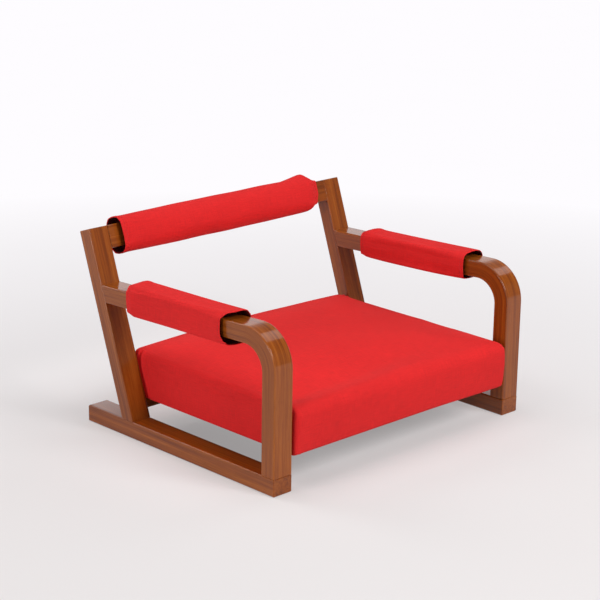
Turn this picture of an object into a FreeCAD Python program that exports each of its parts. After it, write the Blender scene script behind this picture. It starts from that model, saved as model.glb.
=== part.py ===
"""A legless floor chair: two timber side frames on floor runners, a leaning back and an upholstered seat.

Millimetres, +Z up, the sitter faces -Y, and left and right are the sitter's. Every piece is laid out in a
working frame whose Y starts at the front face of the posts, and then moved back by origin_back, so that the
origin lies on the floor under the middle of the whole chair.
"""
import FreeCAD, Part
import math
import os
import re
import Sketcher
from FreeCAD import Placement, Rotation, Vector

# Driving sizes
SIZES = [
    ("overall_width", 600, "outside of one side frame to outside of the other"),
    ("runner_length", 472, "floor runner, front to rear"),
    ("stock_width", 40, "width of all side frame timber, along X"),
    ("runner_height", 30, "floor runner"),
    ("post_depth", 30, "front post, along Y"),
    ("arm_thickness", 30, "arm, square to its top"),
    ("arm_height", 273, "arm's top face where it would meet the post's front face"),
    ("arm_rise", 2.2, "degrees that the arm climbs towards the front"),
    ("bend_radius", 66, "outside of the bend between post and arm"),
    ("bend_inner_radius", 40, "inside of that bend, a little fuller in its middle than the straight runs"),
    ("upright_foot", 350, "upright's front face on the runner"),
    ("upright_top", 349, "height of the upright's top front corner"),
    ("upright_thickness", 28, "square to the upright's axis"),
    ("lean_angle", 19.2, "degrees that the back leans"),
    ("edge_round", 2, "eased long edges of the timber"),
    ("runner_end_round", 5, "rear end of the runners"),
    ("top_rail_height", 40, "top rail, along the uprights"),
    ("seat_rail_height", 40, "rear seat rail, along the uprights"),
    ("seat_rail_clearance", 42, "floor to the rear seat rail's front lower edge"),
    ("tenon_width", 24, "loose tenons of the timber joints"),
    ("tenon_thickness", 9, "loose tenons of the timber joints"),
    ("tenon_reach", 18, "tenon length in each of the two pieces"),
    ("glue_gap", 0.1, "round a tenon or screw"),
    ("end_gap", 1, "past the end of a tenon or screw"),
    ("seat_clearance", 58, "floor to the underside of the seat cover"),
    ("seat_edge_height", 143, "floor to the edge of the seat's top, before rounding"),
    ("seat_crown", 8, "rise of the seat's middle over its edge"),
    ("seat_overhang", 2, "seat's front edge ahead of the posts"),
    ("seat_nose", 4, "bulge of the seat's front between top and bottom"),
    ("seat_side_gap", 4, "seat cover to the side frames"),
    ("seat_setback", 10, "seat's rear behind the uprights' front faces"),
    ("seat_shoulder", 16, "rounding of the seat's sides"),
    ("seat_front_round", 28, "rounding of the seat's front top edge"),
    ("seat_back_round", 12, "rounding of the seat's rear top edge"),
    ("seat_front_heel", 8, "rounding of the seat's front bottom edge"),
    ("seat_back_heel", 4, "rounding of the seat's rear bottom edge"),
    ("seat_hem", 32, "width of the cover turned under the seat frame"),
    ("cover_thickness", 1.2, "seat cover cloth"),
    ("skirt_thickness", 3, "foam between the seat frame and the cover's sides"),
    ("frame_thickness", 20, "seat frame rails"),
    ("frame_height", 30, "seat frame rails"),
    ("frame_nose", 26, "seat frame's front rail behind the deck's front edge"),
    ("housing_depth", 6, "housings of the cross rails in the seat frame's side rails"),
    ("deck_thickness", 9, "plywood deck"),
    ("dust_cloth_thickness", 0.8, "cloth that closes the underside"),
    ("dust_cloth_inset", 16, "dust cloth inside the seat's outline"),
    ("rail_screw_diameter", 5, "screws through the rear seat rail"),
    ("rail_screw_length", 38, "screws through the rear seat rail"),
    ("rail_screw_height", 28, "those screws above the rail's lower edge, along the uprights"),
    ("coach_screw_diameter", 7, "hexagon head screws from the seat frame into the posts"),
    ("coach_screw_hold", 24, "their length inside the post"),
    ("coach_screw_head", 12, "their heads across flats"),
    ("coach_screw_head_height", 5, "their heads"),
    ("washer_diameter", 18, "washers under those heads"),
    ("washer_thickness", 1.6, "washers under those heads"),
    ("back_sleeve_right_gap", 24, "bare top rail between the right upright and the back sleeve"),
    ("back_sleeve_left_gap", 21, "bare top rail between the back sleeve and the left upright"),
    ("back_pad_thickness", 11, "padding round the top rail"),
    ("arm_sleeve_length", 250, "sleeve on an arm"),
    ("arm_sleeve_front", 105, "front end of an arm sleeve, from the post's front face"),
    ("arm_pad_top", 12, "padding over an arm"),
    ("arm_pad_side", 8, "padding beside an arm"),
    ("arm_pad_bottom", 8, "padding under an arm"),
    ("sleeve_thickness", 1.2, "sleeve cloth"),
    ("sleeve_lip", 12, "cloth past each end of its foam"),
    ("sleeve_corner", 14, "rounding of a sleeve's section"),
    ("sleeve_belly", 1.5, "swell of a sleeve's faces between its corners"),
    ("pad_gap", 0.3, "between soft pieces and what they lie on"),
]

# Worked out places, as expressions of the sizes
PLACES = {
    "inner_face": "overall_width / 2 - stock_width",
    "clear_width": "overall_width - 2 * stock_width",
    "upright_span": "(upright_top - runner_height) / cos(lean_angle)",
    "seat_rail_thickness": "upright_thickness - seat_setback",
    "seat_rail_start": "(seat_rail_clearance - runner_height + seat_setback * sin(lean_angle))"
                       " / cos(lean_angle)",
    "rail_screw_place": "seat_rail_start + rail_screw_height",
    "arm_meets_y": "(upright_foot + (arm_height - runner_height) * tan(lean_angle))"
                   " / (1 + tan(arm_rise) * tan(lean_angle))",
    "arm_meets_z": "arm_height - arm_meets_y * tan(arm_rise)",
    "arm_end": "arm_thickness / cos(lean_angle - arm_rise)",
    "arm_drop": "arm_thickness / cos(arm_rise)",
    "seat_half": "inner_face - seat_side_gap",
    "frame_half": "seat_half - cover_thickness - skirt_thickness",
    "frame_bottom": "seat_clearance + cover_thickness + pad_gap",
    "frame_front": "skirt_thickness",
    "deck_bottom": "frame_bottom + frame_height",
    "seat_back_foot": "upright_foot + (seat_clearance - runner_height) * tan(lean_angle)"
                      " + (seat_setback - pad_gap) / cos(lean_angle)",
    "frame_back": "seat_back_foot - cover_thickness - pad_gap",
    "coach_screw_y": "post_depth / 2",
    "coach_screw_z": "frame_bottom + frame_height / 2",
    "under_head": "frame_half - frame_thickness - washer_thickness",
    "back_sleeve_length": "clear_width - back_sleeve_right_gap - back_sleeve_left_gap",
    "reach_along": "upright_span + back_pad_thickness - sleeve_corner",
    "reach_behind": "upright_thickness + back_pad_thickness - sleeve_corner",
    "rear_reach": "upright_foot + reach_along * sin(lean_angle) + reach_behind * cos(lean_angle)"
                  " + sleeve_corner",
    "origin_back": "(rear_reach - seat_overhang - seat_nose) / 2",
}

doc = FreeCAD.newDocument("tatami_chair")
sheet = doc.addObject("Spreadsheet::Sheet", "Sizes")
for row, (alias, size, note) in enumerate(SIZES, 1):
    sheet.set(f"A{row}", alias)
    sheet.set(f"B{row}", str(size))
    sheet.setAlias(f"B{row}", alias)
    sheet.set(f"C{row}", note)
doc.recompute()
NAMED_SIZES = {alias for alias, size, note in SIZES}
pieces = []


def expand(expression):
    """The expression with its places written out and its sizes as references to the sheet."""
    def word(match):
        name = match.group(0)
        if name in PLACES:
            return "(" + expand(PLACES[name]) + ")"
        if name in NAMED_SIZES:
            return "Sizes." + name
        return name
    return re.sub(r"[a-z_]+", word, str(expression))


def number(expression):
    """The value of an expression of sizes and places."""
    value = sheet.evalExpression(expand(expression))
    return float(getattr(value, "Value", value))


def bind(thing, **expressions):
    """Binds properties to expressions, with a dot written as two underscores."""
    for name, expression in expressions.items():
        thing.setExpression(name.replace("__", "."), expand(expression))


def put(thing, x, y, z, rotation=Rotation()):
    """Places a thing at expressions in the working frame, and moves it back to the chair's origin."""
    thing.Placement = Placement(Vector(number(x), number(y) - number("origin_back"), number(z)), rotation)
    bind(thing, Placement__Base__x=x, Placement__Base__y=f"{y} - origin_back", Placement__Base__z=z)


def leaning(along, behind):
    """Y and Z, as expressions, of a point so far up the uprights' front face and so far behind it."""
    y = f"upright_foot + ({along}) * sin(lean_angle) + ({behind}) * cos(lean_angle)"
    z = f"runner_height + ({along}) * cos(lean_angle) - ({behind}) * sin(lean_angle)"
    return y, z


def keep(thing, label):
    """Names a finished piece and puts it on the list of those written out."""
    thing.Label = label
    pieces.append(thing)
    return thing


UP = Rotation()
ALONG_X = Rotation(Vector(0, 1, 0), 90)
AGAINST_X = Rotation(Vector(0, 1, 0), -90)
LEAN = number("lean_angle")
LEANING = Rotation(Vector(-1, 0, 0), LEAN)
SQUARE_TO_BACK = Rotation(Vector(-1, 0, 0), 90 + LEAN)
FLAT_WITH_BACK = LEANING * Rotation(Vector(0, 1, 0), 90)
FORWARD_UP = Rotation(Vector(1, 0, 0), 90 - LEAN)
SIDES = (("right", -1), ("left", 1))


# Timber
def plane(body, role):
    """The body's own origin plane of that role."""
    return next(f for f in body.Origin.OriginFeatures if f.Role == role)


def profile_body(name, corners, length):
    """A body that carries the closed outline, in Y and Z, along X."""
    body = doc.addObject("PartDesign::Body", name)
    sketch = body.newObject("Sketcher::SketchObject", name + "_outline")
    sketch.AttachmentSupport = [(plane(body, "YZ_Plane"), "")]
    sketch.MapMode = "FlatFace"
    points = [Vector(number(y), number(z), 0) for y, z in corners]
    for i, point in enumerate(points):
        sketch.addGeometry(Part.LineSegment(point, points[(i + 1) % len(points)]), False)
    for i, (y, z) in enumerate(corners):
        sketch.addConstraint(Sketcher.Constraint("Coincident", i, 2, (i + 1) % len(corners), 1))
        for kind, expression, at in (("DistanceX", y, points[i].x), ("DistanceY", z, points[i].y)):
            index = sketch.addConstraint(Sketcher.Constraint(kind, -1, 1, i, 1, at))
            sketch.setExpression(f"Constraints[{index}]", expand(expression))
    pad = body.newObject("PartDesign::Pad", name + "_pad")
    pad.Profile = sketch
    pad.ReferenceAxis = (sketch, ["N_Axis"])
    bind(pad, Length=length)
    doc.recompute()
    return body


def round_edges(body, radius, chosen):
    """Rounds the body's edges that the test chooses by their two ends, in the working frame."""
    shape = body.Tip.Shape
    names = []
    for i, edge in enumerate(shape.Edges, 1):
        ends = [edge.valueAt(edge.FirstParameter), edge.valueAt(edge.LastParameter)]
        if chosen(*ends):
            names.append(f"Edge{i}")
    before = shape.Volume
    fillet = body.newObject("PartDesign::Fillet", body.Name + "_round")
    fillet.Base = (body.Group[-2], names)
    bind(fillet, Radius=radius)
    doc.recompute()
    if not names or abs(fillet.Shape.Volume - before) < 1e-3:
        raise RuntimeError(f"{body.Name}: nothing was rounded")


def near(a, b):
    return abs(a - b) < 0.01


def across(a, b):
    """Whether an edge runs along X."""
    return not near(a.x, b.x)


def rod(name, diameter, length, x, y, z, rotation, gap="0"):
    """A cylinder from a place, as expressions, along the rotation's Z."""
    thing = doc.addObject("Part::Cylinder", name)
    bind(thing, Radius=f"({diameter}) / 2 + {gap}", Height=length)
    put(thing, x, y, z, rotation)
    return thing


def block(name, x, y, z, width, depth, height, rotation=UP):
    """A plain board with its low corner at a place."""
    thing = doc.addObject("Part::Box", name)
    bind(thing, Length=width, Width=depth, Height=height)
    put(thing, x, y, z, rotation)
    return thing


def group(name, things):
    """Separate solids under one name."""
    compound = doc.addObject("Part::Compound", name)
    compound.Links = things
    return compound


def bored(label, blank, tools):
    """The blank with the tools cut out of it, as a finished piece."""
    cut = doc.addObject("Part::Cut", label)
    cut.Base = blank
    cut.Tool = group(label + "_bores", tools) if len(tools) > 1 else tools[0]
    return keep(cut, label)


def tenon_joint(name, place, rotation):
    """A joint's loose tenon and the mortise that holds it, along the rotation's Z and centred on a place."""
    def centred(label, width, thickness, length):
        turned = [rotation.multVec(Vector(*axis)) for axis in ((1, 0, 0), (0, 1, 0), (0, 0, 1))]
        low = [f"{c} - (" + " + ".join(f"({size}) * {axis[k]:.9f}" for size, axis in
                                       zip((width, thickness, length), turned)) + ") / 2"
               for k, c in enumerate(place)]
        return block(label, *low, width, thickness, length, rotation)
    tenon = centred(name, "tenon_width", "tenon_thickness", "2 * tenon_reach")
    mortise = centred(name + "_mortise", "tenon_width + 2 * glue_gap", "tenon_thickness + 2 * glue_gap",
                      "2 * tenon_reach + 2 * end_gap")
    return tenon, mortise


joints = {}
for side, sign in SIDES:
    middle = f"{sign} * (overall_width - stock_width) / 2"
    inner = f"{sign} * inner_face"
    foot = "upright_foot + upright_thickness / cos(lean_angle) / 2"
    arm = leaning("(arm_meets_z - runner_height) / cos(lean_angle) - arm_end / 2", "0")
    top_rail = leaning("upright_span - top_rail_height / 2", "upright_thickness / 2")
    seat_rail = leaning("seat_rail_start + seat_rail_height / 2",
                        "upright_thickness - seat_rail_thickness / 2")
    for joint, place, rotation in (("post", (middle, "post_depth / 2", "runner_height"), UP),
                                   ("upright", (middle, foot, "runner_height"), LEANING),
                                   ("arm", (middle, *arm), SQUARE_TO_BACK),
                                   ("top_rail", (inner, *top_rail), FLAT_WITH_BACK),
                                   ("seat_rail", (inner, *seat_rail), FLAT_WITH_BACK)):
        joints[side, joint] = tenon_joint(f"{side}_{joint}_tenon", place, rotation)

JOINTS = ("post", "upright", "arm", "top_rail", "seat_rail")
for joint in JOINTS:
    keep(group(f"{joint}_tenons", [joints[side, joint][0] for side, sign in SIDES]), f"{joint}_tenons")


def bores(side, *names):
    return [joints[side, name][1] for name in names]


def runner(side, x):
    """A floor runner, rounded at its rear end."""
    body = profile_body(f"{side}_runner_blank", [
        ("0", "0"), ("runner_length", "0"), ("runner_length", "runner_height"), ("0", "runner_height")],
        "stock_width")
    length = number("runner_length")
    height = number("runner_height")
    round_edges(body, "runner_end_round",
                lambda a, b: across(a, b) and near(a.y, length) and near(a.z, height))
    round_edges(body, "edge_round", lambda a, b: not across(a, b) and not near(a.y, b.y))
    put(body, x, "0", "0")
    bored(f"{side}_runner", body, bores(side, "post", "upright"))


def arm_leg(side, x, coach_hole):
    """The front post and arm in one bent piece, its arm cut to meet the upright."""
    inner_top = "arm_height - post_depth * tan(arm_rise) - arm_drop"
    body = profile_body(f"{side}_arm_leg_blank", [
        ("0", "runner_height"), ("post_depth", "runner_height"), ("post_depth", inner_top),
        ("arm_meets_y - arm_end * sin(lean_angle)", "arm_meets_z - arm_end * cos(lean_angle)"),
        ("arm_meets_y", "arm_meets_z"), ("0", "arm_height")], "stock_width")
    depth = number("post_depth")
    top = number("arm_height")
    inner = number(inner_top)
    foot = number("runner_height")
    meets = number("arm_meets_y - arm_end * sin(lean_angle)")
    round_edges(body, "bend_radius", lambda a, b: across(a, b) and near(a.z, top))
    round_edges(body, "bend_inner_radius",
                lambda a, b: across(a, b) and near(a.z, inner) and near(a.y, depth))
    round_edges(body, "edge_round", lambda a, b: not across(a, b)
                and not (near(a.z, foot) and near(b.z, foot)) and min(a.y, b.y) < meets - 1)
    put(body, x, "0", "0")
    bored(f"{side}_arm_leg", body, bores(side, "post", "arm") + [coach_hole])


def back_upright(side, x):
    """A leaning upright, cut level at its foot and square at its top."""
    top_front = leaning("upright_span", "0")
    top_rear = leaning("upright_span", "upright_thickness")
    body = profile_body(f"{side}_back_upright_blank", [
        ("upright_foot", "runner_height"),
        ("upright_foot + upright_thickness / cos(lean_angle)", "runner_height"),
        top_rear, top_front], "stock_width")
    lean = number("upright_thickness * sin(lean_angle)") + 1
    round_edges(body, "edge_round", lambda a, b: not across(a, b) and abs(a.z - b.z) > lean)
    put(body, x, "0", "0")
    bored(f"{side}_back_upright", body, bores(side, "upright", "arm", "top_rail", "seat_rail"))


def cross_rail(label, start, height, front, joint, extra=()):
    """A rail between the uprights, leaning with them, its rear face flush with theirs."""
    top = f"{start} + {height}"
    body = profile_body(f"{label}_blank", [
        leaning(start, front), leaning(start, "upright_thickness"),
        leaning(top, "upright_thickness"), leaning(top, front)], "clear_width")
    round_edges(body, "edge_round", lambda a, b: across(a, b))
    put(body, "-inner_face", "0", "0")
    bored(label, body, bores("right", joint) + bores("left", joint) + list(extra))


# Seat frame
def screw(name, diameter, length, x, y, z, rotation, gap="0"):
    """A countersunk screw whose head is flush at a place and whose shank runs along the rotation's Z."""
    shank = rod(name + "_shank", diameter, length, x, y, z, rotation, gap)
    head = doc.addObject("Part::Cone", name + "_head")
    bind(head, Radius1=f"{diameter} + {gap}", Radius2=f"{diameter} / 2 + {gap}", Height=f"{diameter} / 2")
    put(head, x, y, z, rotation)
    whole = doc.addObject("Part::Fuse", name)
    whole.Base = shank
    whole.Tool = head
    return whole


def screws(label, diameter, length, places, rotations):
    """A group of like screws, and the holes that hold them."""
    keep(group(label, [screw(f"{label}_{i}", diameter, length, *place, rotation)
                       for i, (place, rotation) in enumerate(zip(places, rotations))]), label)
    return [screw(f"{label}_hole_{i}", diameter, f"{length} + end_gap", *place, rotation, "glue_gap")
            for i, (place, rotation) in enumerate(zip(places, rotations))]


def seat_frame(coach_holes, rail_holes):
    """Two side rails, three cross rails housed in them and a plywood deck glued on top."""
    bottom = "frame_bottom"
    reach = "frame_half - frame_thickness + housing_depth"
    rows = {"front": "frame_front + frame_nose", "back": "frame_back - frame_thickness"}
    rows["middle"] = f"({rows['front']} + {rows['back']}) / 2"
    for k, (side, sign) in enumerate(SIDES):
        x = "-frame_half" if sign < 0 else "frame_half - frame_thickness"
        rail = block(f"seat_{side}_rail_blank", x, "frame_front", bottom, "frame_thickness",
                     "frame_back - frame_front", "frame_height")
        start = f"-({reach}) - glue_gap" if sign < 0 else "frame_half - frame_thickness - end_gap"
        housings = [block(f"seat_{side}_rail_{row}_housing", start, f"{y} - glue_gap", f"{bottom} - end_gap",
                          "housing_depth + glue_gap + end_gap", "frame_thickness + 2 * glue_gap",
                          "frame_height + 2 * end_gap") for row, y in rows.items()]
        bored(f"seat_{side}_rail", rail, housings + [coach_holes[k]])
    for row, y in rows.items():
        rail = block(f"seat_{row}_rail_blank", f"-({reach})", y, bottom, f"2 * ({reach})",
                     "frame_thickness", "frame_height")
        if row == "back":
            bored("seat_back_rail", rail, rail_holes)
        else:
            keep(rail, f"seat_{row}_rail")
    keep(block("seat_deck", "-frame_half", "frame_front", "deck_bottom", "2 * frame_half",
               "frame_back - frame_front", "deck_thickness"), "seat_deck")


# Soft pieces
SHOULDER_STEPS = 3  # strips in the rounding of the seat's sides
MIDDLE_STEPS = 4  # strips of the seat's top between its rounded sides
FRONT_DRAW = 0.7  # how far the front edge follows the sides' rounding back
ROUND_DRAW = 0.5  # how far the front edge's own rounding shrinks with it
LEAST_SWELL = 0.25


def soft_loop(corners, radii, swells, place):
    """A closed wire round some corners, each corner an arc and each side swelling outwards or straight.

    The corners run anticlockwise, each side is the one that follows its corner, and place turns a corner's
    two coordinates into a point.
    """
    count = len(corners)
    corners = [Vector(a, b, 0) for a, b in corners]
    cut = []
    for i, corner in enumerate(corners):
        back = (corners[i - 1] - corner).normalize()
        on = (corners[(i + 1) % count] - corner).normalize()
        half = back.getAngle(on) / 2
        bisector = (back + on).normalize()
        tangent = radii[i] / math.tan(half)
        top = corner + bisector * (radii[i] / math.sin(half) - radii[i])
        cut.append((corner + back * tangent, top, corner + on * tangent))
    edges = []
    for i in range(count):
        first, top, last = cut[i]
        edges.append(Part.Arc(place(first), place(top), place(last)).toShape())
        following = cut[(i + 1) % count][0]
        if swells[i]:
            side = following - last
            outward = Vector(side.y, -side.x, 0).normalize()
            middle = (last + following) * 0.5 + outward * swells[i]
            edges.append(Part.Arc(place(last), place(middle), place(following)).toShape())
        else:
            edges.append(Part.LineSegment(place(last), place(following)).toShape())
    return Part.Wire(edges)


def soft_feature(label, shape):
    """A finished soft piece from a shape in the working frame."""
    thing = doc.addObject("Part::Feature", label)
    thing.Shape = shape
    thing.Placement = Placement(Vector(0, -number("origin_back"), 0), Rotation())
    return keep(thing, label)


def cushion(inset):
    """The seat pad's crowned form, drawn in by inset all round, as a loft of its sections across X."""
    half = number("seat_half") - inset
    shoulder = number("seat_shoulder") - inset
    front_round = number("seat_front_round") - inset
    front = -number("seat_overhang") + inset
    bottom = number("seat_clearance") + inset
    top = number("seat_edge_height") - inset
    slope = math.tan(math.radians(LEAN))
    back_foot = number("seat_back_foot") + inset * slope - inset / math.cos(math.radians(LEAN))
    crown = number("seat_crown")
    nose = number("seat_nose")
    rounds = [number(f"seat_{name}") - inset for name in ("front_heel", "back_heel", "back_round")]

    def section(x, turn=math.pi / 2):
        drawn = shoulder * (1 - math.sin(turn))
        flat = max(1 - (x / half) ** 2, 0)
        edge = top - drawn
        lip = front + FRONT_DRAW * drawn
        back_top = back_foot + (edge - bottom) * slope
        corners = [(lip, bottom), (back_foot, bottom), (back_top, edge), (lip, edge)]
        radii = rounds + [front_round - ROUND_DRAW * drawn]
        swells = [0, 0, LEAST_SWELL + crown * flat, nose]
        return soft_loop(corners, radii, swells, lambda v: Vector(x, v.x, v.y))

    quarter = math.pi / 2
    turns = [quarter * step / SHOULDER_STEPS for step in range(SHOULDER_STEPS)]
    side = [(half - shoulder * (1 - math.cos(turn)), turn) for turn in turns]
    flat = half - shoulder
    middle = [(flat * (2 * step / MIDDLE_STEPS - 1), quarter) for step in range(MIDDLE_STEPS + 1)]
    stations = [(-x, turn) for x, turn in side] + middle + side[::-1]
    return Part.makeLoft([section(x, turn) for x, turn in stations], True, True)


def seat_soft_parts(screw_holes):
    """The foam over the seat frame, the cover round it and the dust cloth below."""
    cloth = number("cover_thickness")
    gap = number("pad_gap")
    outer = cushion(0)
    lining = cushion(cloth)
    foam = cushion(cloth + gap)
    half = number("frame_half") + gap
    front = number("frame_front") - gap
    back = number("frame_back") + gap
    deck_top = number("deck_bottom + deck_thickness") + gap
    room = Part.makeBox(2 * half, back - front, deck_top, Vector(-half, front, 0))
    forward = Vector(0, number("origin_back"), 0)
    holes = Part.makeCompound([hole.Shape.translated(forward) for hole in screw_holes])
    soft_feature("seat_foam", foam.cut([room, holes]))
    hem = number("seat_hem")
    wide = number("seat_half") - hem
    first = hem - number("seat_overhang")
    last = number("seat_back_foot") - hem
    height = number("seat_clearance") + 2 * cloth
    opening = Part.makeBox(2 * wide, last - first, height, Vector(-wide, first, 0))
    soft_feature("seat_cover", outer.cut([lining, opening, holes]))
    inset = "dust_cloth_inset"
    keep(block("dust_cloth", f"{inset} - seat_half", f"{inset} - seat_overhang",
               "seat_clearance - dust_cloth_thickness", f"2 * (seat_half - {inset})",
               f"seat_back_foot + seat_overhang - 2 * {inset}", "dust_cloth_thickness"), "dust_cloth")


def padded_bar(core, pads, length, place):
    """The foam and the cloth sleeve round a bar of that core section.

    The core is its low and high corner, the pads are the padding past its low and high sides, and place turns
    a section point and a distance along the bar into a point.
    """
    cloth = number("sleeve_thickness")
    gap = number("pad_gap")
    lip = number("sleeve_lip")
    belly = number("sleeve_belly")
    corner = number("sleeve_corner")
    (low_a, low_b), (high_a, high_b) = core
    (pad_low_a, pad_low_b), (pad_high_a, pad_high_b) = pads

    def form(inset, start, end):
        a0, b0 = low_a - pad_low_a + inset + belly, low_b - pad_low_b + inset + belly
        a1, b1 = high_a + pad_high_a - inset - belly, high_b + pad_high_b - inset - belly
        corners = [(a0, b0), (a1, b0), (a1, b1), (a0, b1)]
        radius = corner - belly - inset
        section = soft_loop(corners, [radius] * 4, [belly] * 4, lambda v: place(v.x, v.y, start))
        return Part.Face(section).extrude(place(0, 0, end) - place(0, 0, start))

    sleeve = form(0, 0, length).cut(form(cloth, -gap, length + gap))
    foam = form(cloth + gap, lip, length - lip)
    hole = [place(a, b, 0) for a, b in ((low_a - gap, low_b - gap), (high_a + gap, low_b - gap),
                                        (high_a + gap, high_b + gap), (low_a - gap, high_b + gap))]
    bore = Part.Face(Part.makePolygon(hole + hole[:1])).extrude(place(0, 0, length) - place(0, 0, 0))
    return foam.cut(bore), sleeve


def back_soft_parts():
    """The padding and sleeve of the top rail, from the right upright's side."""
    sine = math.sin(math.radians(LEAN))
    cosine = math.cos(math.radians(LEAN))
    foot = number("upright_foot")
    base = number("runner_height")
    start = -number("inner_face") + number("back_sleeve_right_gap")
    span = number("upright_span")
    pad = number("back_pad_thickness")

    def place(behind, up, along):
        return Vector(start + along, foot + up * sine + behind * cosine, base + up * cosine - behind * sine)

    core = ((0, span - number("top_rail_height")), (number("upright_thickness"), span))
    foam, sleeve = padded_bar(core, ((pad, pad), (pad, pad)), number("back_sleeve_length"), place)
    soft_feature("back_pad", foam)
    soft_feature("back_sleeve", sleeve)


def arm_soft_parts(side, sign):
    """The padding and sleeve of an arm, from its front end back along the arm."""
    rise = math.radians(number("arm_rise"))
    middle = sign * number("(overall_width - stock_width) / 2")
    front = number("arm_sleeve_front")
    top = number("arm_height") - front * math.tan(rise)
    half = number("stock_width") / 2
    beside = number("arm_pad_side")

    def place(x, up, along):
        return Vector(middle + x, front + along * math.cos(rise) + up * math.sin(rise),
                      top - along * math.sin(rise) + up * math.cos(rise))

    core = ((-half, -number("arm_thickness")), (half, 0))
    pads = ((beside, number("arm_pad_bottom")), (beside, number("arm_pad_top")))
    foam, sleeve = padded_bar(core, pads, number("arm_sleeve_length"), place)
    soft_feature(f"{side}_arm_pad", foam)
    soft_feature(f"{side}_arm_sleeve", sleeve)


# Coach screws of the seat
def coach_screws():
    """The hexagon head screws from the seat frame into the posts; returns the holes that hold them."""
    whole, washers, holes = [], [], []
    length = "inner_face + coach_screw_hold - under_head"
    for side, sign in SIDES:
        out = ALONG_X if sign > 0 else AGAINST_X
        start = f"{sign} * under_head"
        at = ("coach_screw_y", "coach_screw_z")
        head = doc.addObject("Part::Prism", f"{side}_coach_screw_head")
        head.Polygon = 6
        bind(head, Circumradius="coach_screw_head / 2 / cos(30)", Height="coach_screw_head_height")
        put(head, f"{start} - {sign} * coach_screw_head_height", *at, out)
        fused = doc.addObject("Part::Fuse", f"{side}_coach_screw")
        fused.Base = rod(f"{side}_coach_screw_shank", "coach_screw_diameter", length, start, *at, out)
        fused.Tool = head
        whole.append(fused)
        washer = doc.addObject("Part::Cut", f"{side}_washer")
        washer.Base = rod(f"{side}_washer_disc", "washer_diameter", "washer_thickness", start, *at, out)
        washer.Tool = rod(f"{side}_washer_eye", "coach_screw_diameter", "washer_thickness", start, *at,
                          out, "glue_gap")
        washers.append(washer)
        holes.append(rod(f"{side}_coach_screw_hole", "coach_screw_diameter", f"{length} + end_gap", start,
                         *at, out, "glue_gap"))
    keep(group("seat_coach_screws", whole), "seat_coach_screws")
    keep(group("seat_washers", washers), "seat_washers")
    return holes


coach_holes = coach_screws()
rail_screw_x = ["-inner_face / 2", "inner_face / 2"]
rail_screw_at = leaning("rail_screw_place", "upright_thickness")
rail_holes = screws("rear_rail_screws", "rail_screw_diameter", "rail_screw_length",
                    [(x, *rail_screw_at) for x in rail_screw_x], [FORWARD_UP] * len(rail_screw_x))
for k, (side, sign) in enumerate(SIDES):
    outside = "-overall_width / 2" if sign < 0 else "inner_face"
    runner(side, outside)
    arm_leg(side, outside, coach_holes[k])
    back_upright(side, outside)
    arm_soft_parts(side, sign)
cross_rail("top_back_rail", "upright_span - top_rail_height", "top_rail_height", "0", "top_rail")
cross_rail("rear_seat_rail", "seat_rail_start", "seat_rail_height", "seat_setback", "seat_rail", rail_holes)
seat_frame(coach_holes, rail_holes)
doc.recompute()
seat_soft_parts(coach_holes + rail_holes)
back_soft_parts()
doc.recompute()

# Checks, then one file for each piece
for thing in doc.Objects:
    if "Invalid" in thing.State or "Error" in thing.State:
        raise RuntimeError(f"{thing.Label}: {thing.State}")
for piece in pieces:
    if piece.Shape.isNull() or not piece.Shape.isValid() or not piece.Shape.Solids:
        raise RuntimeError(f"{piece.Label}: its shape is null, not valid or not solid")
os.makedirs("parts", exist_ok=True)
for piece in pieces:
    piece.Shape.exportStep(f"parts/{piece.Label}.step")
    box = piece.Shape.BoundBox
    print(f"{piece.Label}: {len(piece.Shape.Solids)} solids, {piece.Shape.Volume / 1000:.1f} cm3, "
          f"x {box.XMin:.1f} to {box.XMax:.1f}, y {box.YMin:.1f} to {box.YMax:.1f}, "
          f"z {box.ZMin:.1f} to {box.ZMax:.1f}")
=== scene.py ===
"""A legless floor chair: glossy brown timber side frames, red cloth seat, back sleeve and arm sleeves.

Sizes are in millimetres in a working frame whose Y starts at the posts' front face, and at() turns them into
metres in the model's frame. The sitter faces -Y, so the sitter's left is +X.
"""
import math
from collections import namedtuple

import bmesh
import bpy
import numpy as np
from mathutils import Matrix, Vector
from mathutils.bvhtree import BVHTree

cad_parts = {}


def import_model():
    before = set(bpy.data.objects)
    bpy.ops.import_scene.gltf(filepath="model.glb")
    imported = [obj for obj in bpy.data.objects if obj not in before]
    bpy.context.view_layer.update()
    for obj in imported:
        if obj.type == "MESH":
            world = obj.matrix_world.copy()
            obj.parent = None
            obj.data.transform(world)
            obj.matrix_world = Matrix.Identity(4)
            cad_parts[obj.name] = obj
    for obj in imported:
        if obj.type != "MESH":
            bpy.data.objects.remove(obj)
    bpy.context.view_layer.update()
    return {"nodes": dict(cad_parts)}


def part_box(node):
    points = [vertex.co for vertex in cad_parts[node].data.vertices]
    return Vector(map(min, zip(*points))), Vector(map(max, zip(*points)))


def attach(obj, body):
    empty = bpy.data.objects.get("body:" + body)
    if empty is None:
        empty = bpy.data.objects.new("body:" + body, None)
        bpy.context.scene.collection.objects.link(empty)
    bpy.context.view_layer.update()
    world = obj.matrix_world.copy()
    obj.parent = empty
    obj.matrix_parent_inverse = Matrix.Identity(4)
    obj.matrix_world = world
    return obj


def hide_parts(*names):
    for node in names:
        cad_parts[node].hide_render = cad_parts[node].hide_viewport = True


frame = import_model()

scene = bpy.context.scene

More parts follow.
